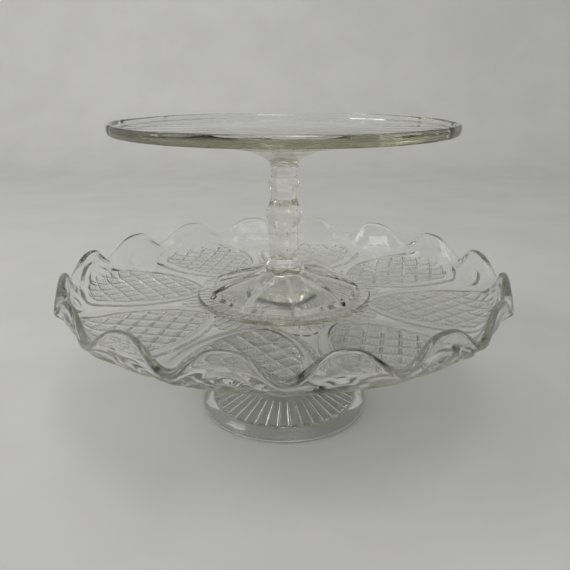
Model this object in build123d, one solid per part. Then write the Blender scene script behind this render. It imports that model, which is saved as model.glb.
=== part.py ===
from build123d import *
import os
from math import cos, radians, sin

# Two clear pressed-glass cake stands that make one tiered stand: a small stand with a
# knopped hexagonal stem stands loose on the plate of a large stand with a scalloped rim.
# All sizes are in millimetres. The axis is Z, and the table is at height 0.

# ---- large stand: pedestal ----
large_foot_radius = 59.0  # reach of the rounded ring that meets the table
foot_ring_width = 8.5  # from the ring's reach in to the plain slope
foot_ring_height = 8.5  # table to the low end of the slope
slope_rise = 10.1  # height that the slope gains
slope_top_radius = 26.0
column_radius = 15.8
column_foot_height = 27.5  # where the slope has become the column
neck_radius = 14.5
neck_height = 41.0
flare_radius = 24.0  # top of the column, under the plate
flare_height = 16.0
flare_start_share = 0.16  # how far the column has spread where the flare starts
flare_edge = 1.5
pedestal_height = 74.5
foot_wall = 6.0  # glass between the top of the slope and the hollow under it
foot_ring_fullness = 0.6  # how far the ring's round shoulder bulges
hollow_side_width = 3.8  # how far the hollow's sloping side reaches in
hollow_side_height = 4.5
hollow_crown = 2.0  # extra height of the hollow at the axis
base_land = 1.7  # width of the flat ring that stands on the table
base_round = 2.5
reed_count = 40
reed_depth = 1.0
reed_narrow_depth = 0.6
reed_fill = 0.9  # share of the pitch that a reed takes
reed_end_margin = 1.0

# ---- large stand: plate ----
large_wafer_thickness = 1.5
large_wafer_radius = 23.5
large_plate_radius = 150.0  # reach of the rim at a trough
rim_run = 25.0  # from the flat floor out to the rim's reach
large_plate_thickness = 6.0
scallop_count = 16
peak_fullness = 1.5  # 1 for peaks as broad as the troughs, more for broader peaks
peak_set_in = 3.4  # how much nearer the axis the rim stands at a peak
peak_rise = 23.3  # floor to rim top at a peak
trough_rise = 10.8  # floor to rim top at a trough
peak_lip = 4.3  # thickness of the rounded edge
trough_lip = 5.2
trough_lean = 49.0  # tilt of the edge at a trough, outwards from upright, in degrees
inner_start = (0.4, 0.46)  # share of the run that stays near the floor: trough, peak
outer_start = (0.5, 0.66)
inner_reach = (0.42, 0.68)  # share of the rise over which the edge keeps its direction
outer_reach = (0.5, 0.72)
sections_per_scallop = 8
lobe_count = 8
lobe_turn = 33.75  # direction of the first lobe, on a peak of the rim
lobe_tip_radius = 56.0
lobe_half_width = 38.0
lobe_side_width = 34.2  # half width where the lobe's sides are nearly parallel
lobe_shoulder_width = 23.6  # half width where the pointed end begins
lobe_depth = 0.8
lobe_border = 1.0  # from the lobe's broad end to the edge of the flat floor

# ---- small stand: foot, stem and plate, with heights from its own base ----
small_foot_radius = 59.8
small_foot_land = 8.0  # width of the flat ring that stands on the large plate
small_foot_edge = 3.0  # height of the rounded outer edge
flange_width = 8.8
flange_height = 6.5
panel_count = 9
panel_heights = (0.0, 2.5, 7.5, 11.2, 14.0, 15.5)  # above the flange
panel_shares = (1.0, 0.883, 0.549, 0.21, 0.049, 0.0)  # of the way out from the stem
panel_top_radius = 12.4
hollow_wall = 5.5
hollow_round_rise = 2.0  # height of the steep outer part of the hollow
hollow_share = 0.95  # reach of the hollow compared with the panels above it
stem_sides = 6
stem_base_radius = 12.3  # stem radii run from the axis to a corner of the hexagon
stem_foot_radius = 10.6
stem_waist_radius = 9.9
lower_knop_radius = 10.4
middle_shoulder_radius = 11.9
middle_knop_radius = 12.3
stem_neck_radius = 8.6
upper_knop_radius = 10.7
stem_rings = (  # height above the foot, and radius
    (0.0, stem_base_radius),
    (2.5, stem_foot_radius),
    (6.0, stem_waist_radius),
    (11.2, stem_waist_radius),
    (18.5, lower_knop_radius),
    (24.5, stem_waist_radius),
    (27.0, stem_waist_radius),
    (32.0, middle_shoulder_radius),
    (36.4, middle_knop_radius),
    (45.6, stem_neck_radius),
    (50.7, stem_neck_radius),
    (55.5, upper_knop_radius),
    (60.0, stem_neck_radius),
    (66.0, stem_neck_radius),
)
small_wafer_thickness = 1.2
small_wafer_radius = 9.3
collar_radius = 8.5
collar_flare = ((12.0, 4.0), (21.0, 8.1), (30.0, 11.3), (36.0, 12.5))  # radius, height
bead_width = 6.0  # raised ring where the collar's flare becomes the plate
bead_drop = 0.9
small_plate_radius = 109.5
small_plate_rise = 20.5  # collar base to the underside at the rim
small_floor_rise = 24.0  # collar base to the flat floor
small_floor_radius = 98.0
small_rim_rise = 28.3  # collar base to the top of the rim
small_lip = 4.0
small_wall_bow = 0.5  # how much the rim's outside curves in before its lower edge
small_cove_rise = 0.8  # curve between the rim's inside and the floor
small_cove_steep = 1.0
small_cove_run = 4.0
notch_count = 12
notch_turn = 25.0
notch_radius = 5.0
notch_depth = 0.8

# ---- heights that follow ----
large_underside = pedestal_height + large_wafer_thickness
large_floor = large_underside + large_plate_thickness
floor_radius = large_plate_radius - rim_run


def flat(radius, height):
    """A point of a profile that is drawn in the XZ plane."""
    return (radius, 0, height)


def mix(low, high, share):
    """The value that lies a share of the way from low to high."""
    return low + (high - low) * share


def turned(outline):
    """A full turn of a closed outline in the XZ plane about the axis."""
    return revolve(make_face(outline), Axis.Z)


def quarter_round(radius, height, bend):
    """An arc about a centre in the profile, from straight outwards to straight down."""
    middle = bend * cos(radians(45))
    start = flat(radius + bend, height)
    return ThreePointArc(start, flat(radius + middle, height - middle), flat(radius, height - bend))


def polygon_loft(sides, radii, heights):
    """A smooth body through regular polygons, each with a corner on +X."""
    layers = [
        Plane.XY.offset(height) * RegularPolygon(radius, sides)
        for radius, height in zip(radii, heights)
    ]
    return loft(layers)


# ---- large pedestal ----
land_inner = large_foot_radius - base_round - base_land
roof_edge = land_inner - hollow_side_width
slope_top_height = foot_ring_height + slope_rise
roof_top = slope_top_height - foot_wall


def pedestal_outline():
    """Half section of the pedestal, without the hollow under its foot."""
    slope_foot_radius = large_foot_radius - foot_ring_width
    slope_foot = flat(slope_foot_radius, foot_ring_height)
    slope_top = flat(slope_top_radius, slope_top_height)
    top_edge = flat(flare_radius, pedestal_height - flare_edge)
    land_outer = large_foot_radius - base_round
    outline = Line(flat(0, pedestal_height), flat(flare_radius, pedestal_height))
    outline += Line(flat(flare_radius, pedestal_height), top_edge)
    outline += Spline(
        top_edge,
        flat(mix(neck_radius, flare_radius, flare_start_share), pedestal_height - flare_height),
        flat(neck_radius, neck_height),
        flat(column_radius, column_foot_height),
        slope_top,
    )
    outline += Line(slope_top, slope_foot)
    outline += Bezier(
        slope_foot,
        flat(mix(slope_foot_radius, large_foot_radius, foot_ring_fullness), foot_ring_height),
        flat(large_foot_radius, mix(base_round, foot_ring_height, foot_ring_fullness)),
        flat(large_foot_radius, base_round),
    )
    outline += quarter_round(land_outer, base_round, base_round)
    outline += Line(flat(land_outer, 0), flat(0, 0))
    outline += Line(flat(0, 0), flat(0, pedestal_height))
    return outline


def hollow_outline():
    """Half section of the hollow: a sloping side, and a roof that rises to the axis."""
    roof_start = flat(roof_edge, hollow_side_height)
    roof_end = flat(slope_top_radius, roof_top)
    crown = flat(0, roof_top + hollow_crown)
    outline = Line(flat(0, 0), flat(land_inner, 0))
    outline += Line(flat(land_inner, 0), roof_start)
    outline += Line(roof_start, roof_end)
    outline += Line(roof_end, crown)
    outline += Line(crown, flat(0, 0))
    return outline


def reed():
    """A tapered cone whose lowest part stands out below the hollow's roof."""
    climb = (roof_top - hollow_side_height) / (roof_edge - slope_top_radius)
    ends = (
        (roof_edge - reed_end_margin, reed_depth),
        (slope_top_radius + reed_end_margin, reed_narrow_depth),
    )
    points = []
    for radius, depth in ends:
        half_width = reed_fill * radius * sin(radians(180 / reed_count))
        bend = (half_width**2 + depth**2) / (2 * depth)
        height = hollow_side_height + (roof_edge - radius) * climb
        points.append((Vector(radius, 0, height + bend - depth), bend))
    (wide_point, wide_bend), (narrow_point, narrow_bend) = points
    along = narrow_point - wide_point
    place = Plane(origin=wide_point, z_dir=along)
    align = (Align.CENTER, Align.CENTER, Align.MIN)
    return place * Cone(wide_bend, narrow_bend, along.length, align=align)


def large_pedestal():
    """Column and round foot in one piece, with tapered reeds under the foot's roof."""
    one_reed = reed()
    hollow = turned(hollow_outline()) - [
        place * one_reed for place in PolarLocations(0, reed_count)
    ]
    return turned(pedestal_outline()) - hollow


# ---- large plate ----
def rim_section(share):
    """Section of the rim, from a trough at share 0 to a peak at share 1."""
    lip = mix(trough_lip, peak_lip, share)
    rise = mix(trough_rise, peak_rise, share)
    reach = large_plate_radius - mix(0, peak_set_in, share)
    start = floor_radius - rim_run * 0.2
    lean = radians(mix(trough_lean, 0, share))
    centre_radius = reach - lip / 2
    centre_height = large_floor + rise - lip / 2
    across = (lip / 2 * cos(lean), -lip / 2 * sin(lean))
    up = (lip / 2 * sin(lean), lip / 2 * cos(lean))
    inner = flat(centre_radius - across[0], centre_height - across[1])
    outer = flat(centre_radius + across[0], centre_height + across[1])
    crest = flat(centre_radius + up[0], centre_height + up[1])
    inner_pull = rise * mix(*inner_reach, share)
    outer_pull = rise * mix(*outer_reach, share)
    outline = Line(flat(start, large_underside), flat(start, large_floor))
    outline += Line(flat(start, large_floor), flat(floor_radius, large_floor))
    outline += Bezier(
        flat(floor_radius, large_floor),
        flat(floor_radius + rim_run * mix(*inner_start, share), large_floor),
        flat(inner[0] - inner_pull * sin(lean), inner[2] - inner_pull * cos(lean)),
        inner,
    )
    outline += ThreePointArc(inner, crest, outer)
    outline += Bezier(
        outer,
        flat(outer[0] - outer_pull * sin(lean), outer[2] - outer_pull * cos(lean)),
        flat(floor_radius + rim_run * mix(*outer_start, share), large_underside),
        flat(floor_radius, large_underside),
    )
    outline += Line(flat(floor_radius, large_underside), flat(start, large_underside))
    return make_face(outline)


def scallop():
    """One scallop of the rim, from trough to trough, with its peak in the middle."""
    pitch = 360 / scallop_count
    sections = []
    for index in range(sections_per_scallop + 1):
        share = index / sections_per_scallop
        wave = (1 - cos(radians(360 * share))) / 2
        height_share = 1 - (1 - wave) ** peak_fullness
        sections.append(rim_section(height_share).rotate(Axis.Z, pitch * share))
    return loft(sections)


def lobe_pad():
    """A raised pad on the underside, pointed near the axis and broad at the rim."""
    broad_end = floor_radius - lobe_border
    waist = mix(lobe_tip_radius, broad_end, 0.55)
    tip = (lobe_tip_radius, 0)
    corner = (broad_end, lobe_half_width)
    side = (waist, lobe_side_width)
    shoulder = (mix(lobe_tip_radius, waist, 0.45), lobe_shoulder_width)
    outline = Spline(tip, shoulder, side, corner)
    outline += Line(corner, (broad_end, -lobe_half_width))
    far_side = [(x, -y) for x, y in (corner, side, shoulder)]
    outline += Spline(*far_side, tip)
    pad = extrude(Plane.XY.offset(large_underside) * make_face(outline), -lobe_depth)
    flat_area = Plane.XY.offset(large_underside - lobe_depth) * Cylinder(
        broad_end, lobe_depth, align=(Align.CENTER, Align.CENTER, Align.MIN)
    )
    return pad & flat_area


def large_plate():
    """Flat floor with a waved rim that stands up at the peaks and leans out at the troughs."""
    piece = scallop()
    pitch = 360 / scallop_count
    ring = piece.fuse(*[piece.rotate(Axis.Z, pitch * turn) for turn in range(1, scallop_count)])
    align = (Align.CENTER, Align.CENTER, Align.MIN)
    floor = Plane.XY.offset(large_underside) * Cylinder(
        floor_radius - 1, large_plate_thickness, align=align
    )
    plate = ring - floor + floor
    pad = lobe_pad()
    step = 360 / lobe_count
    return plate + [pad.rotate(Axis.Z, lobe_turn + step * turn) for turn in range(lobe_count)]


def disc(radius, thickness, height):
    """A plain round disc that starts at a height."""
    align = (Align.CENTER, Align.CENTER, Align.MIN)
    return Plane.XY.offset(height) * Cylinder(radius, thickness, align=align)


# ---- small stand, built with its base at height 0 ----
foot_height = flange_height + panel_heights[-1]


def small_foot():
    """Round flange with concave panels that rise to the stem, hollow below."""
    land_outer = small_foot_radius - small_foot_edge / 2
    panel_start = small_foot_radius - flange_width
    outline = Line(flat(0, 0), flat(land_outer, 0))
    outline += ThreePointArc(
        flat(land_outer, 0),
        flat(small_foot_radius, small_foot_edge / 2),
        flat(land_outer, small_foot_edge),
    )
    outline += Bezier(
        flat(land_outer, small_foot_edge),
        flat(mix(panel_start, land_outer, 0.5), mix(small_foot_edge, flange_height, 0.8)),
        flat(panel_start, flange_height),
    )
    outline += Line(flat(panel_start, flange_height), flat(0, flange_height))
    outline += Line(flat(0, flange_height), flat(0, 0))
    radii = [mix(panel_top_radius, panel_start, share) for share in panel_shares]
    panels = polygon_loft(
        panel_count, radii, [flange_height + height for height in panel_heights]
    )
    hollow_heights = [0.0, hollow_round_rise]
    hollow_radii = [small_foot_radius - small_foot_land, radii[1] + 1.0]
    for radius, height in zip(radii[2:5], panel_heights[2:5]):
        hollow_radii.append(radius * hollow_share)
        hollow_heights.append(flange_height + height - hollow_wall)
    hollow = polygon_loft(panel_count, hollow_radii, hollow_heights)
    return turned(outline) + panels - hollow


def small_stem():
    """Hexagonal stem with three knops, creased at each change of width."""
    layers = [
        Plane.XY.offset(foot_height + height) * RegularPolygon(radius, stem_sides)
        for height, radius in stem_rings
    ]
    return loft(layers, ruled=True)


def small_plate():
    """Round plate with a trumpet collar below and a rim that is notched at intervals."""
    flare_end = flat(*collar_flare[-1])
    bead_end = flat(collar_flare[-1][0] + bead_width, collar_flare[-1][1] + bead_drop)
    bead_low = flat(collar_flare[-1][0] + bead_width / 2, collar_flare[-1][1] - bead_drop / 2)
    under_edge = flat(small_plate_radius - small_lip, small_plate_rise)
    side_pull = flat(small_plate_radius, small_plate_rise + small_lip / 4)
    side_high = flat(small_plate_radius, small_rim_rise - small_lip / 2)
    crest = flat(small_plate_radius - small_lip / 2, small_rim_rise)
    inner = flat(small_plate_radius - small_lip, small_rim_rise - small_lip / 2)
    outline = Line(flat(0, 0), flat(collar_radius, 0))
    outline += Spline(flat(collar_radius, 0), *[flat(*point) for point in collar_flare])
    outline += ThreePointArc(flare_end, bead_low, bead_end)
    outline += Line(bead_end, under_edge)
    under_pull = flat(small_plate_radius - small_wall_bow, small_plate_rise)
    outline += Bezier(under_edge, under_pull, side_pull, side_high)
    outline += ThreePointArc(side_high, crest, inner)
    outline += Bezier(
        inner,
        flat(inner[0] - small_cove_steep, small_floor_rise + small_cove_rise),
        flat(inner[0] - small_cove_run, small_floor_rise),
        flat(small_floor_radius, small_floor_rise),
    )
    outline += Line(flat(small_floor_radius, small_floor_rise), flat(0, small_floor_rise))
    outline += Line(flat(0, small_floor_rise), flat(0, 0))
    cutter = Cylinder(notch_radius, small_rim_rise * 3)
    ring = PolarLocations(
        small_plate_radius + notch_radius - notch_depth, notch_count, start_angle=notch_turn
    )
    return turned(outline) - [place * cutter for place in ring]


# ---- assembly ----
stem_length = stem_rings[-1][0]
small_wafer_height = foot_height + stem_length
collar_height = small_wafer_height + small_wafer_thickness


def stand_on_large_plate(piece, height=0.0):
    """A piece of the small stand, lifted to where the stand rests on the large plate."""
    return Location((0, 0, large_floor + height)) * piece


pieces = {
    "large_pedestal": large_pedestal(),
    "large_wafer": disc(large_wafer_radius, large_wafer_thickness, pedestal_height),
    "large_plate": large_plate(),
    "small_foot": stand_on_large_plate(small_foot()),
    "small_stem": stand_on_large_plate(small_stem()),
    "small_wafer": stand_on_large_plate(
        disc(small_wafer_radius, small_wafer_thickness, small_wafer_height)
    ),
    "small_plate": stand_on_large_plate(small_plate(), collar_height),
}

os.makedirs("parts", exist_ok=True)
for name, shape in pieces.items():
    export_step(shape, f"parts/{name}.step")
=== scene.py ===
"""Looks of two pressed-glass cake stands, one loose on the plate of the other.

Every piece of glass starts as an outline that is spun about the axis. Formulas then press
the turned blank into its mould shape, as a plunger presses hot glass. Lengths inside the
classes are millimetres, and each finished mesh is in metres.
"""

import logging
import math
from collections.abc import Mapping, Sequence
from dataclasses import dataclass, field
from enum import Enum
from typing import Any

import bmesh
import bpy
import numpy as np
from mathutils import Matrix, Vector

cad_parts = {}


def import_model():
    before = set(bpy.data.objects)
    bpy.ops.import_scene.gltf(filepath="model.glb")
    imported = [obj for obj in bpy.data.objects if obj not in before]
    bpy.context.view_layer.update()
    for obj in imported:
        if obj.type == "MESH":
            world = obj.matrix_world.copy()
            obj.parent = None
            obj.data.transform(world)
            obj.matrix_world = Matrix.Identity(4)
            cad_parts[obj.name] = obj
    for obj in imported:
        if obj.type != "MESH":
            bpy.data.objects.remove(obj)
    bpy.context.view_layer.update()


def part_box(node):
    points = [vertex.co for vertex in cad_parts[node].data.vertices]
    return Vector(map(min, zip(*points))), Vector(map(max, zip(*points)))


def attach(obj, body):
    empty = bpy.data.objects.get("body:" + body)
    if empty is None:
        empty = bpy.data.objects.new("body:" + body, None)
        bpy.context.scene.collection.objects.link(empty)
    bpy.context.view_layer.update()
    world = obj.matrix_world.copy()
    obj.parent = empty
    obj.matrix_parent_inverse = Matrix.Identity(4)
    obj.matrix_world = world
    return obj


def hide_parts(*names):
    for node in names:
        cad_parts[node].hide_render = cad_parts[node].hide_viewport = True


MM = 0.001
JOINT_GAP = 0.05  # between two pieces of glass that touch, in millimetres
WELD_GAP = 0.002  # corners nearer than this are joined, in millimetres
PRESS_ATTRIBUTE = "press"
MIX_LOW, MIX_HIGH, MIX_RESULT = 6, 7, 2  # colour sockets of a mix node

Point = tuple[float, float]
Array = np.ndarray
log = logging.getLogger("cake_stand")


class Body(Enum):
    """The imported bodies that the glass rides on."""

    LARGE = "large_stand"
    SMALL = "small_stand"


class Slot(Enum):
    """The record's material slots."""

    LARGE = "large_glass"
    SMALL = "small_glass"


# ---- shared formulas ----
def mix(low: Any, high: Any, share: Any) -> Any:
    """Returns the value that lies a share of the way from low to high."""
    return low + (high - low) * share


def ease(start: float, end: float, value: Array) -> Array:
    """Rises smoothly from 0 to 1.

    Args:
        start: value at which the rise starts.
        end: value at which it is complete, which may be below start.
        value: where the rise is wanted.

    Returns:
        The risen share at each value.
    """
    share = np.clip((value - start) / (end - start), 0, 1)
    return share * share * (3 - 2 * share)


def bezier(points: Sequence[tuple[Any, Any]], share: Any) -> tuple[Any, Any]:
    """Returns the point of a cubic curve at a share of its way."""
    back = 1 - share
    weights = (back**3, 3 * back**2 * share, 3 * back * share**2, share**3)
    return (
        sum(weight * point[0] for weight, point in zip(weights, points)),
        sum(weight * point[1] for weight, point in zip(weights, points)),
    )


def bezier_slope(points: Sequence[tuple[Any, Any]], share: Any) -> tuple[Any, Any]:
    """Returns the direction of a cubic curve at a share of its way."""
    back = 1 - share
    weights = (back**2, 2 * back * share, share**2)
    steps = list(zip(weights, points, points[1:]))
    return (
        sum(weight * (after[0] - before[0]) for weight, before, after in steps),
        sum(weight * (after[1] - before[1]) for weight, before, after in steps),
    )


def from_nearest(turn: Array, count: int, first: float) -> Array:
    """Returns the angle from the nearest of several evenly spaced directions.

    Args:
        turn: directions in radians.
        count: how many evenly spaced directions there are.
        first: one of them, in radians.
    """
    pitch = 2 * math.pi / count
    return (turn - first + pitch / 2) % pitch - pitch / 2


def polygon_share(turn: Array, sides: int, soften: float) -> Array:
    """Returns the reach of a regular polygon, as a share of its corner's reach.

    Args:
        turn: directions in radians, with a corner at 0.
        sides: number of sides.
        soften: half of the angle over which a corner is rounded, in radians.
    """
    half = math.pi / sides
    from_corner = np.abs(from_nearest(turn, sides, 0))
    rounded = np.sqrt(from_corner**2 + soften**2) - soften * 0.5
    return math.cos(half) / np.cos(half - np.minimum(rounded, half))


class Outline:
    """A pen that draws half of a section, from the axis outwards and back to the axis."""

    def __init__(self, reach: float, height: float) -> None:
        """Puts the pen down.

        Args:
            reach: distance from the axis.
            height: height above the table.
        """
        self.points: list[Point] = [(reach, height)]

    def line(self, reach: float, height: float, steps: int = 1) -> "Outline":
        """Draws a straight stretch.

        Args:
            reach: distance of its end from the axis.
            height: height of its end.
            steps: number of equal divisions.

        Returns:
            The same pen.
        """
        start = self.points[-1]
        for step in range(1, steps + 1):
            share = step / steps
            self.points.append((mix(start[0], reach, share), mix(start[1], height, share)))
        return self

    def curve(self, first: Point, second: Point, end: Point, steps: int) -> "Outline":
        """Draws a cubic curve.

        Args:
            first: point that the start heads for.
            second: point that the end comes from.
            end: where it ends.
            steps: number of divisions.

        Returns:
            The same pen.
        """
        controls = (self.points[-1], first, second, end)
        self.points += [bezier(controls, step / steps) for step in range(1, steps + 1)]
        return self

    def through(self, points: Sequence[Point], steps: int) -> "Outline":
        """Draws one smooth line through several points.

        Args:
            points: the points after the pen's place.
            steps: divisions between two points.

        Returns:
            The same pen.
        """
        stops = [self.points[-1], *points]
        ends = [stops[0], *stops, stops[-1]]
        for before, start, end, after in zip(ends, ends[1:], ends[2:], ends[3:]):
            first = (start[0] + (end[0] - before[0]) / 6, start[1] + (end[1] - before[1]) / 6)
            second = (end[0] - (after[0] - start[0]) / 6, end[1] - (after[1] - start[1]) / 6)
            self.curve(first, second, end, steps)
        return self


class Turned:
    """A closed turned body whose vertices can be pressed into another shape."""

    def __init__(self, name: str, outline: Outline, sectors: int, columns: int) -> None:
        """Spins an outline into one sector, and spins copies of the sector round.

        Args:
            name: name of the mesh.
            outline: half section, which starts and ends on the axis.
            sectors: number of equal sectors.
            columns: divisions of a sector.
        """
        self.mesh = bpy.data.meshes.new(name)
        shape = bmesh.new()
        corners = [shape.verts.new((reach, 0, height)) for reach, height in outline.points]
        for start, end in zip(corners, corners[1:]):
            shape.edges.new((start, end))
        pitch = 2 * math.pi / sectors
        line = shape.verts[:] + shape.edges[:]
        bmesh.ops.spin(shape, geom=line, axis=(0, 0, 1), angle=pitch, steps=columns)
        bmesh.ops.spin(
            shape,
            geom=shape.verts[:] + shape.edges[:] + shape.faces[:],
            axis=(0, 0, 1),
            angle=pitch * (sectors - 1),
            steps=sectors - 1,
            use_duplicate=True,
        )
        bmesh.ops.remove_doubles(shape, verts=shape.verts[:], dist=WELD_GAP)
        bmesh.ops.recalc_face_normals(shape, faces=shape.faces[:])
        for face in shape.faces:
            face.smooth = True
        shape.to_mesh(self.mesh)
        shape.free()
        places = np.empty(len(self.mesh.vertices) * 3)
        self.mesh.vertices.foreach_get("co", places)
        across, deep, self.height = places.reshape(-1, 3).T.copy()
        self.reach: Array = np.hypot(across, deep)
        self.turn: Array = np.arctan2(deep, across)

    def mark(self, name: str, values: Array) -> None:
        """Stores three numbers on each vertex for a finish to read.

        Args:
            name: name of the attribute.
            values: one row of three numbers for each vertex.
        """
        attribute = self.mesh.attributes.new(name, "FLOAT_VECTOR", "POINT")
        attribute.data.foreach_set("vector", values.astype(np.float32).ravel())

    def settle(self) -> bpy.types.Object:
        """Writes the pressed shape back in metres and returns its object."""
        across = self.reach * np.cos(self.turn)
        deep = self.reach * np.sin(self.turn)
        places = np.stack([across, deep, self.height], axis=1) * MM
        self.mesh.vertices.foreach_set("co", places.astype(np.float32).ravel())
        self.mesh.update()
        piece = bpy.data.objects.new(self.mesh.name, self.mesh)
        bpy.context.scene.collection.objects.link(piece)
        return piece


# ---- finishes ----
class Number:
    """A number that varies over a surface, which Python's operators work on."""

    def __init__(self, graph: "Graph", socket: bpy.types.NodeSocket) -> None:
        """Wraps an output socket of the graph."""
        self.graph = graph
        self.socket = socket

    def _with(self, operation: str, *others: Any) -> "Number":
        """Returns the outcome of one math operation on this number."""
        values = dict(enumerate([self, *others]))
        node = self.graph.add("ShaderNodeMath", {"operation": operation}, values)
        return Number(self.graph, node.outputs[0])

    def __add__(self, other: Any) -> "Number":
        """Returns this number plus another."""
        return self._with("ADD", other)

    __radd__ = __add__

    def __mul__(self, other: Any) -> "Number":
        """Returns this number times another."""
        return self._with("MULTIPLY", other)

    __rmul__ = __mul__

    def __sub__(self, other: Any) -> "Number":
        """Returns this number less another."""
        return self._with("SUBTRACT", other)

    def __rsub__(self, other: Any) -> "Number":
        """Returns another number less this one."""
        return self * -1 + other

    def __truediv__(self, other: float) -> "Number":
        """Returns this number divided by a plain number."""
        return self._with("DIVIDE", other)

    def __abs__(self) -> "Number":
        """Returns the size of this number."""
        return self._with("ABSOLUTE")

    def zigzag(self, pitch: float) -> "Number":
        """Returns a wave of straight slopes, 0 at each multiple of the pitch and 1 between."""
        return abs((self / pitch + 0.5)._with("FRACT") - 0.5) * 2

    def rise(self, start: float, end: float) -> "Number":
        """Returns 0 up to start, 1 from end, and a smooth rise between."""
        settings = {"interpolation_type": "SMOOTHSTEP"}
        values = {"Value": self, "From Min": start, "From Max": end}
        node = self.graph.add("ShaderNodeMapRange", settings, values)
        return Number(self.graph, node.outputs[0])


class Graph:
    """The nodes of one material or world."""

    def __init__(self, tree: bpy.types.NodeTree) -> None:
        """Empties the tree."""
        self.tree = tree
        tree.nodes.clear()

    def add(
        self, kind: str, settings: Mapping[str, Any], values: Mapping[Any, Any]
    ) -> bpy.types.Node:
        """Adds a node.

        Args:
            kind: type of the node.
            settings: attributes of the node, set first.
            values: a value, a socket or a Number for each named or numbered input.

        Returns:
            The new node.
        """
        node = self.tree.nodes.new(kind)
        for key, value in settings.items():
            setattr(node, key, value)
        for key, value in values.items():
            source = value.socket if isinstance(value, Number) else value
            if isinstance(source, bpy.types.NodeSocket):
                self.tree.links.new(source, node.inputs[key])
            else:
                node.inputs[key].default_value = source
        return node

    def noise(self, scale: float, detail: float) -> Number:
        """Returns soft noise from 0 to 1 that stays still on the object.

        Args:
            scale: patches for each metre.
            detail: number of finer layers.
        """
        place = self.add("ShaderNodeTexCoord", {}, {}).outputs["Object"]
        values = {"Vector": place, "Scale": scale, "Detail": detail}
        return Number(self, self.add("ShaderNodeTexNoise", {}, values).outputs[0])

    def stored(self, name: str) -> list[Number]:
        """Returns the three numbers that are stored on a mesh under a name."""
        source = self.add("ShaderNodeAttribute", {"attribute_name": name}, {})
        values = {"Vector": source.outputs["Vector"]}
        parts = self.add("ShaderNodeSeparateXYZ", {}, values)
        return [Number(self, socket) for socket in parts.outputs]

    def height(self) -> Number:
        """Returns the height above the table in metres."""
        place = self.add("ShaderNodeTexCoord", {}, {}).outputs["Object"]
        parts = self.add("ShaderNodeSeparateXYZ", {}, {"Vector": place})
        return Number(self, parts.outputs["Z"])


@dataclass(frozen=True)
class GlassFinish:
    """Old pressed glass, fire-polished, with a faint tint that shows where it is thick."""

    name: str
    clear_tint: tuple[float, float, float, float]
    streak_tint: tuple[float, float, float, float]
    depth_tint: tuple[float, float, float, float]
    depth_density: float  # absorption for each metre of glass
    broad_scale: float = 34.0  # mould waves for each metre
    fine_scale: float = 230.0
    streak_range: tuple[float, float] = (0.35, 0.7)
    swell: float = 0.22  # height of the broad mould waves, in millimetres
    ripple: float = 0.035  # height of the fine ripple
    hatch: float = 0.0  # height of the fine points between the pressed lines
    hatch_pitch: float = 2.1
    line_pitch: float = 10.5
    line_width: float = 1.3
    line_depth: float = 0.9
    polish: float = 0.012
    wear: float = 0.10
    wear_height: float = 0.0  # height of the face that is worn by standing
    wear_reach: float = 2.5
    wear_range: tuple[float, float] = (0.4, 0.65)
    index: float = 1.5  # of refraction

    def make(self) -> bpy.types.Material:
        """Returns the material."""
        material = bpy.data.materials.new(self.name)
        material.use_nodes = True
        graph = Graph(material.node_tree)
        broad = graph.noise(self.broad_scale, 1.5)
        fine = graph.noise(self.fine_scale, 2)
        streak = broad.rise(*self.streak_range)
        values = {"Factor": streak, MIX_LOW: self.clear_tint, MIX_HIGH: self.streak_tint}
        tint = graph.add("ShaderNodeMix", {"data_type": "RGBA"}, values)
        relief = broad * self.swell + fine * self.ripple
        if self.hatch:
            along, across, mask = graph.stored(PRESS_ATTRIBUTE)
            points = along.zigzag(self.hatch_pitch) * across.zigzag(self.hatch_pitch)
            edge = 2 * self.line_width / self.line_pitch
            blocks = along.zigzag(self.line_pitch).rise(0, edge)
            blocks = blocks * across.zigzag(self.line_pitch).rise(0, edge)
            relief = relief + (points * self.hatch + self.line_depth) * blocks * mask
        values = {"Height": relief, "Strength": 1.0, "Distance": MM}
        bump = graph.add("ShaderNodeBump", {}, values)
        floor_gap = (graph.height() - self.wear_height * MM) / MM
        worn = (1 - floor_gap.rise(0, self.wear_reach)) * fine.rise(*self.wear_range)
        roughness = worn * self.wear + fine * self.polish + self.polish / 2
        values = {
            "Base Color": tint.outputs[MIX_RESULT],
            "Roughness": roughness,
            "IOR": self.index,
            "Transmission Weight": 1.0,
            "Normal": bump.outputs[0],
        }
        surface = graph.add("ShaderNodeBsdfPrincipled", {}, values)
        values = {"Color": self.depth_tint, "Density": self.depth_density}
        volume = graph.add("ShaderNodeVolumeAbsorption", {}, values)
        values = {"Surface": surface.outputs[0], "Volume": volume.outputs[0]}
        graph.add("ShaderNodeOutputMaterial", {}, values)
        return material


@dataclass(frozen=True)
class PaintFinish:
    """Matt pale paint with a very soft mottle."""

    name: str
    light: tuple[float, float, float, float]
    shade: tuple[float, float, float, float]
    mottle_scale: float = 9.0  # patches for each metre
    mottle_range: tuple[float, float] = (0.3, 0.7)
    roughness: float = 0.6

    def make(self) -> bpy.types.Material:
        """Returns the material."""
        material = bpy.data.materials.new(self.name)
        material.use_nodes = True
        graph = Graph(material.node_tree)
        mottle = graph.noise(self.mottle_scale, 3).rise(*self.mottle_range)
        values = {"Factor": mottle, MIX_LOW: self.light, MIX_HIGH: self.shade}
        paint = graph.add("ShaderNodeMix", {"data_type": "RGBA"}, values)
        values = {"Base Color": paint.outputs[MIX_RESULT], "Roughness": self.roughness}
        surface = graph.add("ShaderNodeBsdfPrincipled", {}, values)
        graph.add("ShaderNodeOutputMaterial", {}, {"Surface": surface.outputs[0]})
        return material


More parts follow.
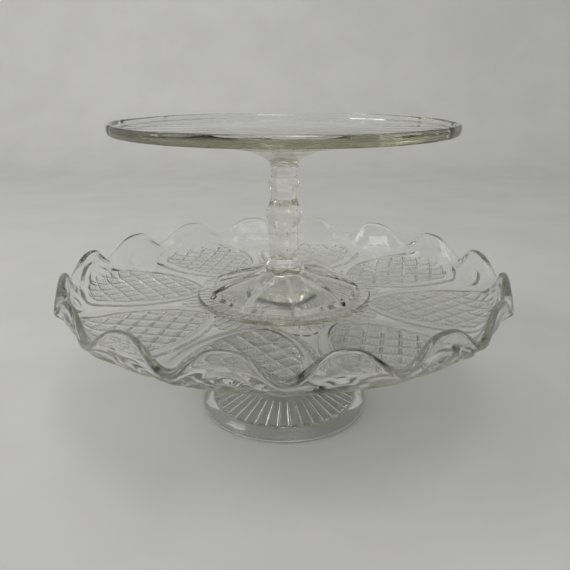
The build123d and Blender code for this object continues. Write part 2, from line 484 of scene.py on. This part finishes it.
# ---- the relief under the large plate ----
@dataclass
class LobePattern:
    """Eight pointed lobes filled with pressed diamonds, on a sheet that is still flat."""

    count: int = 8
    turn: float = math.radians(33.75)  # direction of one lobe
    hatch_start: float = 60.0  # pointed end of the filled area
    hatch_widest: float = 124.0
    hatch_end: float = 143.0
    hatch_width: float = 33.0  # half width
    border_start: float = 54.0
    border_widest: float = 120.0
    border_end: float = 151.0
    border_width: float = 42.0
    tip_power: float = 0.69  # less than 1 makes a leaf's pointed end fuller
    pitch: float = 10.5  # of the lines between the diamonds
    phase: float = 6.9  # first line from the pointed end
    line_width: float = 2.0
    line_depth: float = 0.75
    hatch_height: float = 1.0
    border_height: float = 1.15
    hatch_round: float = 1.0  # width over which the filled area's edge is rounded
    mark_edge: tuple[float, float] = (0.3, 1.6)  # where the fine points fade in
    ray_count: int = 64
    ray_height: float = 0.55
    ray_start: float = 25.5
    ray_end: float = 55.0
    ray_fades: tuple[float, float] = (2.0, 1.5)  # lengths over which a ray starts and ends
    gap_ray_end: float = 70.0
    oval_count: int = 16
    oval_turn: float = math.radians(11.25)
    oval_place: float = 139.5  # centre of an oval, on the flat sheet
    oval_size: tuple[float, float] = (9.0, 15.5)  # half of its length and of its width
    oval_rings: float = 1.5
    oval_height: float = 0.6
    oval_edge: tuple[float, float] = (0.9, 1.1)  # where an oval gives way to the other relief

    def _width(
        self, along: Array, start: float, widest: float, end: float, width: float
    ) -> Array:
        """Half width of a pointed leaf.

        Args:
            along: distances from the plate's centre, along the lobe.
            start: pointed end.
            widest: where the leaf is widest.
            end: rounded end.
            width: half width there.

        Returns:
            The half width at each distance, 0 outside the leaf.
        """
        tip = np.clip((along - start) / (widest - start), 0, 1)
        tail = np.clip((along - widest) / (end - widest), 0, 1)
        return width * np.sin(math.pi / 2 * tip**self.tip_power) * np.sqrt(1 - tail**2)

    def _inside(self, along: Array, across: Array, *leaf: float) -> Array:
        """Distance inside a leaf's edge, negative outside it.

        Args:
            along: distances along the lobe.
            across: distances from the lobe's middle line.
            *leaf: start, widest place, end and half width.
        """
        step = 0.5
        width = self._width(along, *leaf)
        slope = (self._width(along + step, *leaf) - self._width(along - step, *leaf)) / (2 * step)
        near = (width - np.abs(across)) / np.sqrt(1 + slope**2)
        beyond = np.maximum(np.maximum(leaf[0] - along, along - leaf[2]), 0)
        return np.where(beyond > 0, -np.hypot(beyond, across), near)

    def local(self, spread: Array, turn: Array) -> tuple[Array, Array]:
        """Place on the flat sheet, measured along and across the nearest lobe."""
        angle = from_nearest(turn, self.count, self.turn)
        return spread * np.cos(angle), spread * np.sin(angle)

    def hatch_inside(self, along: Array, across: Array) -> Array:
        """Distance inside the area that the diamonds fill."""
        leaf = (self.hatch_start, self.hatch_widest, self.hatch_end, self.hatch_width)
        return self._inside(along, across, *leaf)

    def lattice(self, along: Array, across: Array) -> tuple[Array, Array]:
        """Distances along two directions that cross at right angles in a lobe."""
        from_tip = along - self.hatch_start
        half = math.sqrt(0.5)
        return (
            (from_tip + across) * half - self.phase,
            (from_tip - across) * half - self.phase,
        )

    def _line(self, place: Array) -> Array:
        """Share of a pressed line's depth at a place across the lines."""
        away = np.abs((place / self.pitch + 0.5) % 1 - 0.5) * self.pitch
        return np.clip(1 - away / self.line_width, 0, 1)

    def marks(self, spread: Array, turn: Array, mask: Array) -> Array:
        """Lattice places and where the fine points show, for the finish."""
        along, across = self.local(spread, turn)
        first, second = self.lattice(along, across)
        shown = ease(*self.mark_edge, self.hatch_inside(along, across)) * mask
        return np.stack([first, second, shown], axis=1)

    def relief(self, spread: Array, turn: Array) -> Array:
        """Height of the relief over the bare sheet.

        Args:
            spread: distance from the centre on the flat sheet.
            turn: direction in radians.

        Returns:
            The height at each vertex, in millimetres.
        """
        along, across = self.local(spread, turn)
        leaf = (self.border_start, self.border_widest, self.border_end, self.border_width)
        outer = self._inside(along, across, *leaf)
        inner = self.hatch_inside(along, across)
        first, second = self.lattice(along, across)
        lines = np.maximum(self._line(first), self._line(second))
        hatch = self.hatch_height - self.line_depth * lines
        share = np.clip(outer / np.maximum(outer - inner, 0.01), 0, 1)
        bead = self.border_height * np.sqrt(np.clip(np.sin(math.pi * share), 0, 1))
        edge = ease(0, self.hatch_round, inner)
        height = np.where(inner > 0, hatch * edge, np.where(outer > 0, bead, 0))
        height = np.maximum(height, self._rays(spread, turn))
        rings, cover = self._oval(spread, turn)
        return mix(height, rings, cover)

    def _rays(self, spread: Array, turn: Array) -> Array:
        """Height of the rays round the middle of the plate."""
        gap = from_nearest(turn, self.count, self.turn + math.pi / self.count)
        arch = np.cos(np.clip(gap * self.count / 2, -math.pi / 2, math.pi / 2))
        end = mix(self.ray_end, self.gap_ray_end, arch**2)
        wave = np.abs(np.cos(turn * self.ray_count / 2))
        fade_in, fade_out = self.ray_fades
        shown = ease(self.ray_start, self.ray_start + fade_in, spread)
        return self.ray_height * wave * shown * (1 - ease(-fade_out, 0, spread - end))

    def _oval(self, spread: Array, turn: Array) -> tuple[Array, Array]:
        """Height of the oval rings on each peak of the rim, and the share they cover."""
        angle = from_nearest(turn, self.oval_count, self.oval_turn)
        along = (spread * np.cos(angle) - self.oval_place) / self.oval_size[0]
        across = spread * np.sin(angle) / self.oval_size[1]
        away = np.hypot(along, across)
        rings = self.oval_height * (0.5 + 0.5 * np.cos(2 * math.pi * self.oval_rings * away))
        return rings, 1 - ease(*self.oval_edge, away)


# ---- pieces of glass ----
@dataclass
class GlassPart:
    """One piece of glass that stands for one CAD node."""

    node: str
    body: Body
    slot: Slot
    finish: bpy.types.Material

    def dress(self, turned: Turned) -> bpy.types.Object:
        """Finishes a pressed piece and puts it on its body.

        Args:
            turned: the pressed shape.

        Returns:
            The finished object.
        """
        turned.mesh.materials.append(self.finish)
        piece = turned.settle()
        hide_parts(self.node)
        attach(piece, self.body.value)
        log.info("%s: %d faces", piece.name, len(turned.mesh.polygons))
        return piece


def span(node: str) -> tuple[float, float, float]:
    """Returns a CAD node's reach from the axis, its lowest and its highest height."""
    low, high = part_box(node)
    return high.x / MM, low.z / MM, high.z / MM


def build_disc(node: str, body: Body, slot: Slot, finish: bpy.types.Material) -> None:
    """Builds the thin seam of glass where two pressed pieces were joined hot.

    Args:
        node: CAD node that it stands for.
        body: body that it rides on.
        slot: material slot of the record; not used.
        finish: its material.
    """
    reach, low, high = span(node)
    low, high = low + JOINT_GAP / 2, high - JOINT_GAP / 2
    bend = (high - low) / 2
    middle = (low + high) / 2
    outline = Outline(0, high).line(reach - bend, high, 4)
    outline.curve((reach, high), (reach, middle), (reach, middle), 4)
    outline.curve((reach, middle), (reach, low), (reach - bend, low), 4)
    outline.line(0, low, 4)
    GlassPart(node, body, slot, finish).dress(Turned(f"{node}_glass", outline, 8, 12))


@dataclass
class LargeStand:
    """The large stand: a fluted pedestal under a scalloped plate with a pressed pattern."""

    finish: bpy.types.Material
    plate_finish: bpy.types.Material
    ring_width: float = 8.5
    ring_height: float = 8.5
    slope_rise: float = 10.1
    slope_reach: float = 26.0
    column: tuple[Point, ...] = ((15.8, 27.5), (14.5, 41.0), (16.0, 58.5))
    flare_reach: float = 24.0
    flare_round: float = 1.2
    ring_pulls: tuple[float, float] = (4.5, 7.0)  # run and height that shape the ring's shoulder
    side_height: float = 2.5  # height at which the ring reaches farthest
    foot_wall: float = 6.0
    hollow_crown: float = 2.0
    land: tuple[float, float] = (54.8, 56.5)
    land_round: float = 1.2
    roof_edge: float = 51.0
    roof_rise: float = 4.5  # height of the roof's edge
    crisp: float = 0.15  # how far the hollow's edges are rounded
    reed_count: int = 40
    reed_depths: tuple[float, float] = (0.9, 1.9)  # at the column, and at the ring
    reed_power: float = 3.0  # more than 2 makes a reed flatter, between sharper valleys
    reed_end: float = 3.8  # length of the pointed end of a reed
    reed_fade: float = 0.12  # share of its length over which a reed starts
    rim_run: float = 25.0
    wall_length: float = 30.0  # the rim's wall, laid flat
    scallops: int = 16
    peak_turn: float = math.radians(11.25)
    peak_fullness: float = 1.5  # more than 1 makes the peaks broader than the troughs
    peak_set_in: float = 3.4
    rises: tuple[float, float] = (10.8, 23.3)  # floor to rim top: trough, peak
    lips: tuple[float, float] = (5.2, 4.3)
    lean: float = math.radians(49)
    inner_start: tuple[float, float] = (0.4, 0.46)
    outer_start: tuple[float, float] = (0.5, 0.66)
    inner_reach: tuple[float, float] = (0.42, 0.68)
    outer_reach: tuple[float, float] = (0.5, 0.72)
    plate_thickness: float = 6.0
    bare_inset: float = 0.3  # from the CAD underside up to the sheet between the relief
    relief_fade: tuple[float, float] = (0.88, 1.0)  # shares of the wall over which relief ends
    mark_fade: tuple[float, float] = (0.3, 0.6)  # and over which the fine points end
    pattern: LobePattern = field(default_factory=LobePattern)

    def build(self) -> None:
        """Builds the stand's three pieces."""
        self.build_pedestal()
        build_disc("large_wafer", Body.LARGE, Slot.LARGE, self.finish)
        self.build_plate()

    def build_pedestal(self) -> None:
        """Builds the column and the round foot, with reeds on the roof of its hollow."""
        reach, low, high = span("large_pedestal")
        high -= JOINT_GAP
        slope_foot = reach - self.ring_width
        slope_top = low + self.ring_height + self.slope_rise
        ring_top = low + self.ring_height
        roof_edge, roof_low = self.roof_edge, low + self.roof_rise
        roof_top = slope_top - self.foot_wall
        climb = (roof_top - roof_low) / (roof_edge - self.slope_reach)
        outline = Outline(0, high).line(self.flare_reach - 1, high, 6)
        corner = (self.flare_reach, high)
        outline.curve(corner, corner, (self.flare_reach, high - self.flare_round), 4)
        outline.through([*self.column[::-1], (self.slope_reach, slope_top)], 12)
        outline.line(slope_foot, ring_top, 10)
        side = (reach, low + self.side_height)
        run, rise = self.ring_pulls
        outline.curve((slope_foot + run, ring_top), (reach, low + rise), side, 14)
        land_inner, land_outer = self.land
        land_pull = (land_outer + self.land_round, low)
        outline.curve((reach, low + 1), land_pull, (land_outer, low), 6)
        outline.line(land_inner, low, 3)
        outline.line(roof_edge + self.crisp, roof_low - self.crisp, 7)
        start = roof_edge - self.crisp
        outline.line(start, roof_low + self.crisp * climb)
        outline.line(self.slope_reach, roof_top, 44).line(0, roof_top + self.hollow_crown, 8)
        turned = Turned("large_pedestal_glass", outline, self.reed_count, 12)
        roof = roof_low + (roof_edge - turned.reach) * climb
        on_roof = np.abs(turned.height - roof) < 0.05
        on_roof &= (turned.reach < start + 0.01) & (turned.reach > self.slope_reach - 1)
        place = from_nearest(turned.turn, self.reed_count, 0) * self.reed_count / math.pi
        out = np.clip((turned.reach - self.slope_reach) / (roof_edge - self.slope_reach), 0, 1)
        depth = mix(*self.reed_depths, out) * ease(0, self.reed_fade, out)
        reed = depth * (1 - np.abs(place) ** self.reed_power)
        end_face = depth * (start - turned.reach) / self.reed_end
        turned.height = turned.height - np.where(on_roof, np.minimum(reed, end_face), 0)
        GlassPart("large_pedestal", Body.LARGE, Slot.LARGE, self.finish).dress(turned)

    def _blank(self, edge: float) -> Outline:
        """Section of the flat blank: top at height 1, rounded edge, underside at -1.

        Args:
            edge: reach of the flat sheet.

        Returns:
            The outline.
        """
        floor = edge - self.wall_length
        outline = Outline(0, 1).line(floor, 1, 10).line(edge, 1, 16)
        for step in range(1, 8):
            bend = math.pi * step / 8
            outline.line(edge + math.sin(bend), math.cos(bend))
        start, sheet = self.pattern.ray_start, self.pattern.border_start
        return outline.line(edge, -1).line(sheet, -1, 101).line(start, -1, 14).line(0, -1, 5)

    def _rim(self, wave: Array, floor: float, under: float, reach: float) -> list[Any]:
        """Curves of the rim at each vertex.

        Args:
            wave: 0 at a trough and 1 at a peak.
            floor: height of the plate's floor.
            under: height of the plate's underside.
            reach: greatest reach of the rim.

        Returns:
            The inner curve, the outer curve, and the edge's centre, thickness and lean.
        """
        start = reach - self.rim_run
        lip = mix(*self.lips, wave) / 2
        rise = mix(*self.rises, wave)
        lean = mix(self.lean, 0, wave)
        across, up = np.cos(lean), np.sin(lean)
        centre = (reach - self.peak_set_in * wave - lip, floor + rise - lip)
        inner = (centre[0] - lip * across, centre[1] + lip * up)
        outer = (centre[0] + lip * across, centre[1] - lip * up)
        pull_in = rise * mix(*self.inner_reach, wave)
        pull_out = rise * mix(*self.outer_reach, wave)
        inner_curve = (
            (start, floor),
            (start + self.rim_run * mix(*self.inner_start, wave), floor),
            (inner[0] - pull_in * up, inner[1] - pull_in * across),
            inner,
        )
        outer_curve = (
            (start, under),
            (start + self.rim_run * mix(*self.outer_start, wave), under),
            (outer[0] - pull_out * up, outer[1] - pull_out * across),
            outer,
        )
        return [inner_curve, outer_curve, centre, lip, lean]

    def build_plate(self) -> None:
        """Presses the flat blank into the plate: relief first, then the waved rim."""
        reach = span("large_plate")[0]
        under = span("large_wafer")[2]
        floor = under + self.plate_thickness
        floor_edge = reach - self.rim_run
        edge = floor_edge + self.wall_length
        turned = Turned("large_plate_glass", self._blank(edge), self.scallops, 40)
        spread, side, turn = turned.reach, turned.height, turned.turn
        trough = 0.5 - 0.5 * np.cos(self.scallops * (turn - self.peak_turn))
        wave = 1 - trough**self.peak_fullness
        inner, outer, centre, lip, lean = self._rim(wave, floor, under, reach)
        share = np.clip((spread - floor_edge) / self.wall_length, 0, 1)
        on_wall = spread > floor_edge
        top, bottom = side > 0.999, side < -0.999
        inner_reach, inner_height = bezier(inner, share)
        outer_reach, outer_height = bezier(outer, share)
        run, climb = bezier_slope(outer, np.where(on_wall, share, 0))
        length = np.hypot(run, climb)
        relief = self.pattern.relief(spread, turn)
        seat = ease(self.pattern.ray_start, self.pattern.ray_start - 1, spread)
        lift = mix(relief - self.bare_inset, -JOINT_GAP, seat) * (1 - ease(*self.relief_fade, share))
        outer_reach = np.where(on_wall, outer_reach, spread) + lift * climb / length
        outer_height = outer_height - lift * run / length
        bend = np.arccos(np.clip(side, -1, 1))
        across, up = -np.cos(bend), np.sin(bend)
        lip_reach = centre[0] + lip * (across * np.cos(lean) + up * np.sin(lean))
        lip_height = centre[1] + lip * (up * np.cos(lean) - across * np.sin(lean))
        turned.reach = np.select(
            [top, bottom], [np.where(on_wall, inner_reach, spread), outer_reach], lip_reach
        )
        turned.height = np.select([top, bottom], [inner_height, outer_height], lip_height)
        shown = bottom * (1 - ease(*self.mark_fade, share))
        turned.mark(PRESS_ATTRIBUTE, self.pattern.marks(spread, turn, shown))
        GlassPart("large_plate", Body.LARGE, Slot.LARGE, self.plate_finish).dress(turned)


@dataclass
class SmallStand:
    """The small stand: a foot with nine panels, a knopped stem and a plain round plate."""

    finish: bpy.types.Material
    panel_count: int = 9
    panels: tuple[Point, ...] = (  # reach of a ridge, height above the flange
        (46.5, 2.5),
        (33.6, 7.5),
        (20.5, 11.2),
        (14.3, 14.0),
        (12.4, 15.5),
    )
    flange_width: float = 8.8
    flange_height: float = 6.5
    flange_edge: float = 3.0
    facet_lean: float = 1.2  # how far the facets under the panels lean out
    facet_foot: float = 0.4  # from the flange's edge up to the foot of a facet
    edge_round: float = 1.3
    roof_margin: float = 2.5  # what lies less than this above the hollow's roof belongs to it
    hollow: tuple[Point, ...] = ((13.6, 15.0), (19.5, 12.2), (31.9, 8.5), (47.5, 2.0))
    land_width: float = 8.0
    panel_soften: float = math.radians(2.0)  # half of the angle that rounds a ridge
    panel_hollow: float = 1.4  # how deep a panel is dished at its widest
    ridge_height: float = 0.55  # of the rounded bead on each ridge
    ridge_width: float = 1.9
    stem_sides: int = 6
    stem_rings: tuple[Point, ...] = (  # corner's reach, height above the foot
        (12.3, 0.0),
        (10.6, 2.5),
        (9.9, 6.0),
        (9.9, 11.2),
        (10.4, 18.5),
        (9.9, 24.5),
        (9.9, 27.0),
        (11.9, 32.0),
        (12.3, 36.4),
        (8.6, 45.6),
        (8.6, 50.7),
        (10.7, 55.5),
        (8.6, 60.0),
        (8.6, 66.0),
    )
    stem_soften: float = math.radians(3.5)
    crease: float = 0.35  # half of the height over which a crease is rounded
    stem_end_round: float = 0.3
    collar: tuple[Point, ...] = ((30.0, 11.3), (21.0, 8.1), (12.0, 4.0), (8.5, 0.0))
    bead: tuple[Point, ...] = ((42.0, 13.4), (39.0, 12.05), (36.0, 12.5))
    plate_rise: float = 20.5
    floor_rise: float = 24.0
    floor_reach: float = 99.0
    fan_count: int = 24  # low pressed fans under the plate
    fan_height: float = 0.8
    plate_lip: float = 4.0
    notch_count: int = 12
    notch_turn: float = math.radians(25)
    notch_depth: float = 0.4
    notch_width: float = 2.6
    notch_sink: float = 0.8  # how much lower the rim's top is in a notch, for each unit of depth
    rim_inset: float = 0.4  # how much lower the rim's rounded edge starts than in the CAD
    crest_share: float = 0.62  # of the lip's thickness, from its start to the pull of its crest
    wall_bow: float = 0.6
    uneven_height: float = 0.55
    uneven_waves: tuple[tuple[float, int, float], ...] = (  # size, count round the rim, turn
        (0.3, 5, 0.6),
        (0.2, 11, 2.1),
    )

    def build(self) -> None:
        """Builds the stand's four pieces."""
        self.build_foot()
        self.build_stem()
        build_disc("small_wafer", Body.SMALL, Slot.SMALL, self.finish)
        self.build_plate()

    def build_foot(self) -> None:
        """Builds the foot: round flange, dished panels between ridges, hollow below."""
        reach, low, high = span("small_foot")
        low, high = low + JOINT_GAP, high - JOINT_GAP
        panel_start = reach - self.flange_width
        flange_top = low + self.flange_height
        ridge = [(radius, flange_top + height) for radius, height in self.panels[::-1]]
        outline = Outline(0, high).line(ridge[0][0] - 0.4, high, 5).line(ridge[0][0], high - 0.2)
        outline.through([*ridge[1:], (panel_start, flange_top)], 9)
        edge = low + self.flange_edge
        outline.line(panel_start + self.facet_lean, edge + self.facet_foot, 6)
        rounded = reach - self.edge_round
        outline.line(rounded, edge, 8).curve((reach, edge), (reach, low), (rounded, low), 10)
        outline.line(reach - self.land_width, low, 5)
        hollow = [(radius, low + height) for radius, height in self.hollow[::-1]]
        outline.through(hollow, 9).line(0, hollow[-1][1], 5)
        turned = Turned("small_foot_glass", outline, self.panel_count, 40)
        flat = polygon_share(turned.turn, self.panel_count, self.panel_soften)
        from_ridge = np.abs(from_nearest(turned.turn, self.panel_count, 0))
        middle = np.sin(from_ridge * self.panel_count / 2) ** 1.5
        roof = low + np.interp(turned.reach, *np.array(self.hollow).T)
        inside = turned.reach < reach - self.land_width + 0.01
        inside &= turned.height < roof + self.roof_margin
        outside = (turned.reach < panel_start + self.facet_lean + 0.1) & ~inside
        outside &= turned.height > edge + self.facet_foot / 2
        width = np.clip((turned.reach - ridge[0][0]) / (panel_start - ridge[0][0]), 0, 1)
        dish = self.panel_hollow * np.sin(math.pi * width**0.8) * middle
        from_bead = from_ridge * turned.reach / self.ridge_width
        bead = self.ridge_height * np.exp(-(from_bead**2)) * ease(0, 0.3, width)
        bead = bead * ease(1.02, 0.95, width)
        shaped = outside | inside
        turned.reach = np.where(shaped, turned.reach * flat, turned.reach)
        turned.height = turned.height + np.where(outside, bead - dish, 0)
        GlassPart("small_foot", Body.SMALL, Slot.SMALL, self.finish).dress(turned)

    def build_stem(self) -> None:
        """Builds the hexagonal stem with its three angular knops."""
        _, low, high = span("small_stem")
        length = self.stem_rings[-1][1]
        rings = [(radius, mix(low, high, height / length)) for radius, height in self.stem_rings]
        rings.reverse()
        top, foot, bend = high - JOINT_GAP / 2, low + JOINT_GAP / 2, self.stem_end_round
        outline = Outline(0, top).line(rings[0][0] - bend, top, 3).line(rings[0][0], top - bend)
        for (reach, height), (next_reach, next_height) in zip(rings[1:], rings[2:]):
            before = outline.points[-1]
            up = self.crease / max(before[1] - height, self.crease)
            down = self.crease / max(height - next_height, self.crease)
            start = (mix(reach, before[0], up), mix(height, before[1], up))
            end = (mix(reach, next_reach, down), mix(height, next_height, down))
            corner = (reach, height)
            outline.line(*start, 5).curve(corner, corner, end, 3)
        foot_reach = rings[-1][0]
        outline.line(foot_reach, foot + bend, 5).line(foot_reach - bend, foot).line(0, foot, 3)
        turned = Turned("small_stem_glass", outline, self.stem_sides, 24)
        flat = polygon_share(turned.turn, self.stem_sides, self.stem_soften)
        turned.reach = turned.reach * flat
        GlassPart("small_stem", Body.SMALL, Slot.SMALL, self.finish).dress(turned)

    def build_plate(self) -> None:
        """Builds the plate with its trumpet collar and its thick, slightly uneven rim."""
        reach, low, high = span("small_plate")
        low += JOINT_GAP
        floor, under = low + self.floor_rise, low + self.plate_rise
        inner = reach - self.plate_lip
        lip_height = high - self.plate_lip / 2 - self.rim_inset
        outline = Outline(0, floor).line(self.floor_reach, floor, 18)
        outline.curve((inner - 4, floor), (inner - 1, floor + 0.8), (inner, lip_height), 12)
        crest = lip_height + self.plate_lip * self.crest_share
        outline.curve((inner + 0.2, crest), (reach - 0.2, crest), (reach, lip_height), 10)
        outline.curve((reach, under + 1.6), (reach - self.wall_bow, under), (inner, under), 12)
        bead = [(radius, low + height) for radius, height in self.bead]
        collar = [(radius, low + height) for radius, height in self.collar]
        outline.line(*bead[0], 40).through(bead[1:], 5).through(collar, 7).line(0, low, 4)
        turned = Turned("small_plate_glass", outline, self.notch_count, 40)
        turn, spread = turned.turn, turned.reach
        from_notch = from_nearest(turn, self.notch_count, self.notch_turn) * reach
        notch = self.notch_depth * np.exp(-((from_notch / self.notch_width) ** 2))
        at_rim = ease(inner + 1.5, reach - 0.4, spread)
        turned.reach = spread - notch * at_rim
        waves = [size * np.sin(count * turn + start) for size, count, start in self.uneven_waves]
        uneven = 0.5 + sum(waves)
        above = ease(floor, high - 1.5, turned.height) * ease(inner - 3, inner, spread)
        below = turned.height < floor - 2
        fans = np.abs(np.cos(turn * self.fan_count / 2)) * ease(self.bead[0][0], 60, spread)
        fans = fans * (1 - ease(reach - 12, reach - 3, spread)) * below
        sink = self.uneven_height * uneven + self.notch_sink * notch
        turned.height = turned.height - sink * above
        turned.height = turned.height + self.fan_height * fans
        GlassPart("small_plate", Body.SMALL, Slot.SMALL, self.finish).dress(turned)


# ---- stage ----
@dataclass(frozen=True)
class SoftBox:
    """A soft rectangular light that faces a point above the table."""

    name: str
    place: tuple[float, float, float]
    size: tuple[float, float]
    power: float
    colour: tuple[float, float, float] = (1.0, 0.99, 0.97)
    target: tuple[float, float, float] = (0.0, 0.0, 0.1)

    def make(self) -> None:
        """Adds the light."""
        data = bpy.data.lights.new(self.name, "AREA")
        data.shape = "RECTANGLE"
        data.size, data.size_y = self.size
        data.energy = self.power
        data.color = self.colour
        light = bpy.data.objects.new(self.name, data)
        light.location = self.place
        facing = Vector(self.target) - Vector(self.place)
        light.rotation_euler = facing.to_track_quat("-Z", "Y").to_euler()
        bpy.context.scene.collection.objects.link(light)
        log.info("%s: %.1f W", self.name, self.power)


@dataclass
class Stage:
    """A pale sweep behind and under the object, soft light and the camera. In metres."""

    sweep_reach: float = 1.5
    sweep_bend: float = 0.35
    sweep_height: float = 0.75
    front_reach: float = 1.1
    half_width: float = 0.95
    camera_place: tuple[float, float, float] = (-0.00075, -0.3944, 0.2219)
    camera_pitch: float = math.radians(18.66)  # downwards
    camera_turn: float = math.radians(0.21)  # to the right
    lens: float = 37.9
    room: tuple[float, float, float, float] = (0.39, 0.39, 0.385, 1)
    lights: tuple[SoftBox, ...] = (
        SoftBox("key_window", (0.137, -0.448, 1.105), (0.29, 0.52), 1.5),
        SoftBox("front_fill", (0.25, -1.3, 0.35), (1.2, 0.6), 2.8, target=(0.0, 0.0, 0.02)),
        SoftBox("left_window", (-1.1, -0.3, 0.8), (0.7, 1.0), 6.4, target=(0.1, 1.5, 0.35)),
        SoftBox("ceiling", (-0.4, 0.5, 1.5), (0.9, 0.9), 2.0, target=(-0.2, 1.5, 0.4)),
    )

    def build(self) -> None:
        """Builds the sweep, the lights and the camera."""
        self.build_sweep()
        for light in self.lights:
            light.make()
        self.build_room()
        self.build_camera()

    def build_sweep(self) -> None:
        """Builds the floor, which turns up into a wall behind the object."""
        mesh = bpy.data.meshes.new("sweep")
        shape = bmesh.new()
        line = [(-self.front_reach, 0.0), (self.sweep_reach - self.sweep_bend, 0.0)]
        for step in range(1, 13):
            turn = math.pi / 2 * step / 12
            deep = self.sweep_reach - self.sweep_bend * (1 - math.sin(turn))
            line.append((deep, self.sweep_bend * (1 - math.cos(turn))))
        line.append((self.sweep_reach, self.sweep_height))
        points = [shape.verts.new((-self.half_width, deep, height)) for deep, height in line]
        edges = [shape.edges.new(pair) for pair in zip(points, points[1:])]
        grown = bmesh.ops.extrude_edge_only(shape, edges=edges)["geom"]
        moved = [item for item in grown if isinstance(item, bmesh.types.BMVert)]
        bmesh.ops.translate(shape, verts=moved, vec=(2 * self.half_width, 0, 0))
        bmesh.ops.recalc_face_normals(shape, faces=shape.faces[:])
        for face in shape.faces:
            face.smooth = True
        shape.to_mesh(mesh)
        shape.free()
        paint = PaintFinish("pale_paint", (0.74, 0.74, 0.725, 1), (0.70, 0.70, 0.68, 1))
        mesh.materials.append(paint.make())
        sweep = bpy.data.objects.new("sweep", mesh)
        bpy.context.scene.collection.objects.link(sweep)

    def build_room(self) -> None:
        """Sets the plain grey that the glass sees where there is no stage."""
        world = bpy.data.worlds.new("room")
        bpy.context.scene.world = world
        world.use_nodes = True
        graph = Graph(world.node_tree)
        grey = graph.add("ShaderNodeBackground", {}, {"Color": self.room, "Strength": 1.0})
        graph.add("ShaderNodeOutputWorld", {}, {"Surface": grey.outputs[0]})

    def build_camera(self) -> None:
        """Adds the camera in front of the stand, a little above the upper plate."""
        data = bpy.data.cameras.new("camera")
        data.lens = self.lens
        data.sensor_width = 36
        camera = bpy.data.objects.new("camera", data)
        camera.location = self.camera_place
        camera.rotation_euler = (math.pi / 2 - self.camera_pitch, 0, -self.camera_turn)
        bpy.context.scene.collection.objects.link(camera)
        bpy.context.scene.camera = camera


def set_light_paths(scene: bpy.types.Scene) -> None:
    """Lets light pass through many layers of glass, and shows plain tones.

    Args:
        scene: the scene to set.
    """
    scene.cycles.max_bounces = 28
    scene.cycles.transmission_bounces = 28
    scene.cycles.glossy_bounces = 10
    scene.cycles.diffuse_bounces = 4
    scene.view_settings.view_transform = "Standard"


def corners(box: Sequence[Vector]) -> list[list[float]]:
    """Returns a box's two corners as plain lists."""
    return [list(corner) for corner in box]


def main() -> None:
    """Builds the two stands and the stage round them."""
    logging.basicConfig(level=logging.INFO, format="%(name)s %(message)s")
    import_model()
    olive = GlassFinish(
        name="large_stand_glass",
        clear_tint=(1.0, 1.0, 0.995, 1),
        streak_tint=(0.985, 0.99, 0.975, 1),
        depth_tint=(0.58, 0.61, 0.46, 1),
        depth_density=10.0,
        wear=0.03,
    )
    pressed = GlassFinish(
        name="large_plate_glass",
        clear_tint=olive.clear_tint,
        streak_tint=olive.streak_tint,
        depth_tint=olive.depth_tint,
        depth_density=olive.depth_density,
        hatch=0.28,
        wear_height=-100.0,
    )
    straw = GlassFinish(
        name="small_stand_glass",
        clear_tint=(1.0, 1.0, 0.99, 1),
        streak_tint=(0.985, 0.99, 0.965, 1),
        depth_tint=(0.62, 0.62, 0.47, 1),
        depth_density=11.0,
        wear=0.05,
        wear_height=span("small_foot")[1],
    )
    LargeStand(olive.make(), pressed.make()).build()
    SmallStand(straw.make()).build()
    Stage().build()
    set_light_paths(bpy.context.scene)


if __name__ == "__main__":
    main()
